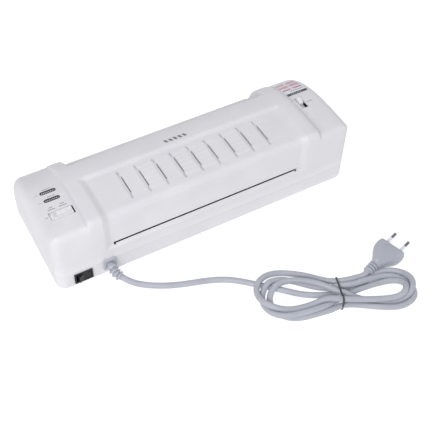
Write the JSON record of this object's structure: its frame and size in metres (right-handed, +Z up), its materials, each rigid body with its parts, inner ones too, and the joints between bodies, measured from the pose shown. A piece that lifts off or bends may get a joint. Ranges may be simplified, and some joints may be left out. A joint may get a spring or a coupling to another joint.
{
  "type": "pouch laminator",
  "caption": "Desktop A4 pouch laminator with heated rollers behind a feed slot and exit slot, vented lid, slide controls and a coiled mains lead.",
  "frame": {"origin": "on the floor under the middle of the machine, with its switch and without its lead", "axes": "+X along the machine to its right as seen from the exit side, +Y from the exit side to the feed side, +Z up"},
  "size_m": [0.3889, 0.3393, 0.096],
  "materials": {
    "white_casing": "fine satin moulding",
    "foot_rubber": "matt",
    "zinc_plated_steel": "dull plated",
    "ground_steel": "ground smooth",
    "sticker_film": "satin film",
    "silicone_rubber": "matt, moulded",
    "brown_bush_plastic": "smooth",
    "white_gear_nylon": "smooth",
    "heater_aluminium": "extruded",
    "black_switch_plastic": "satin",
    "circuit_board_green": "lacquered",
    "indicator_lens": "clear dark lens",
    "grey_cord_pvc": "soft, slightly shiny",
    "tie_wire_sleeve": "matt"
  },
  "bodies": {
    "casing": {"base_tray": "white_casing", "top_cover": "white_casing", "rubber_foot_exit_left": "foot_rubber", "rubber_foot_exit_right": "foot_rubber", "rubber_foot_feed_left": "foot_rubber", "rubber_foot_feed_right": "foot_rubber", "case_screw_exit_left": "zinc_plated_steel", "case_screw_exit_right": "zinc_plated_steel", "case_screw_feed_left": "zinc_plated_steel", "case_screw_feed_right": "zinc_plated_steel", "side_frame_left": "zinc_plated_steel", "side_frame_right": "zinc_plated_steel", "tie_bar": "zinc_plated_steel", "gear_motor": "zinc_plated_steel", "motor_bracket": "zinc_plated_steel", "guide_sticker": "sticker_film", "pressure_spring_hot_left": "ground_steel", "pressure_spring_hot_right": "ground_steel", "pressure_spring_pull_left": "ground_steel", "pressure_spring_pull_right": "ground_steel", "plug_pin_left": "ground_steel", "plug_pin_right": "ground_steel", "bush_lower_hot_left": "brown_bush_plastic", "bush_lower_hot_right": "brown_bush_plastic", "bush_upper_hot_left": "brown_bush_plastic", "bush_upper_hot_right": "brown_bush_plastic", "bush_lower_pull_left": "brown_bush_plastic", "bush_lower_pull_right": "brown_bush_plastic", "bush_upper_pull_left": "brown_bush_plastic", "bush_upper_pull_right": "brown_bush_plastic", "upper_heater_plate": "heater_aluminium", "lower_heater_plate": "heater_aluminium", "thermostat": "black_switch_plastic", "entry_guide": "black_switch_plastic", "exit_guide": "black_switch_plastic", "power_switch_housing": "black_switch_plastic", "control_board": "circuit_board_green", "power_indicator": "indicator_lens", "ready_indicator": "indicator_lens", "strain_relief": "grey_cord_pvc", "power_cord": "grey_cord_pvc", "cord_hank": "grey_cord_pvc", "plug_lead": "grey_cord_pvc", "plug_body": "grey_cord_pvc", "cord_tie": "tie_wire_sleeve"},
    "lower_hot_roller": {"lower_hot_roller_shaft": "ground_steel", "lower_hot_roller_sleeve": "silicone_rubber", "lower_hot_gear": "white_gear_nylon"},
    "upper_hot_roller": {"upper_hot_roller_shaft": "ground_steel", "upper_hot_roller_sleeve": "silicone_rubber"},
    "lower_pull_roller": {"lower_pull_roller_shaft": "ground_steel", "lower_pull_roller_sleeve": "silicone_rubber", "lower_pull_gear": "white_gear_nylon"},
    "upper_pull_roller": {"upper_pull_roller_shaft": "ground_steel", "upper_pull_roller_sleeve": "silicone_rubber"},
    "idler": {"idler_gear": "white_gear_nylon"},
    "pinion": {"motor_pinion": "white_gear_nylon"},
    "release_lever": {"release_lever": "white_casing"},
    "thickness_slider": {"thickness_slider": "white_casing"},
    "power_switch_rocker": {"power_switch_rocker": "black_switch_plastic"}
  },
  "joints": [
    {"name": "lower_hot_roller_spin", "type": "hinge", "parent": "casing", "child": "lower_hot_roller", "pos_m": [0, 0.01645, 0.03485], "axis": [1, 0, 0], "continuous": true},
    {"name": "upper_hot_roller_spin", "type": "hinge", "parent": "casing", "child": "upper_hot_roller", "pos_m": [0, 0.01645, 0.05715], "axis": [1, 0, 0], "continuous": true},
    {"name": "lower_pull_roller_spin", "type": "hinge", "parent": "casing", "child": "lower_pull_roller", "pos_m": [0, -0.03017, 0.03485], "axis": [1, 0, 0], "continuous": true},
    {"name": "upper_pull_roller_spin", "type": "hinge", "parent": "casing", "child": "upper_pull_roller", "pos_m": [0, -0.03017, 0.05715], "axis": [1, 0, 0], "continuous": true},
    {"name": "idler_spin", "type": "hinge", "parent": "casing", "child": "idler", "pos_m": [0, -0.00686, 0.03485], "axis": [1, 0, 0], "continuous": true},
    {"name": "pinion_spin", "type": "hinge", "parent": "casing", "child": "pinion", "pos_m": [0, -0.00686, 0.0531], "axis": [1, 0, 0], "continuous": true},
    {"name": "release_lever_slide", "type": "slide", "parent": "casing", "child": "release_lever", "axis": [0, 1, 0], "range_m": [-0.0088, 0]},
    {"name": "thickness_slider_slide", "type": "slide", "parent": "casing", "child": "thickness_slider", "axis": [1, 0, 0], "range_m": [-0.004, 0.0012]},
    {"name": "power_switch_rock", "type": "hinge", "parent": "casing", "child": "power_switch_rocker", "pos_m": [-0.161, -0.06605, 0.0148], "axis": [0, 0, 1], "range_deg": [-24, 0]}
  ],
  "couplings": [
    {"joint": "upper_hot_roller_spin", "follows": "lower_hot_roller_spin", "ratio": -1},
    {"joint": "lower_pull_roller_spin", "follows": "lower_hot_roller_spin", "ratio": 1},
    {"joint": "upper_pull_roller_spin", "follows": "lower_hot_roller_spin", "ratio": -1},
    {"joint": "idler_spin", "follows": "lower_hot_roller_spin", "ratio": -0.91667},
    {"joint": "pinion_spin", "follows": "lower_hot_roller_spin", "ratio": 1.8333}
  ]
}
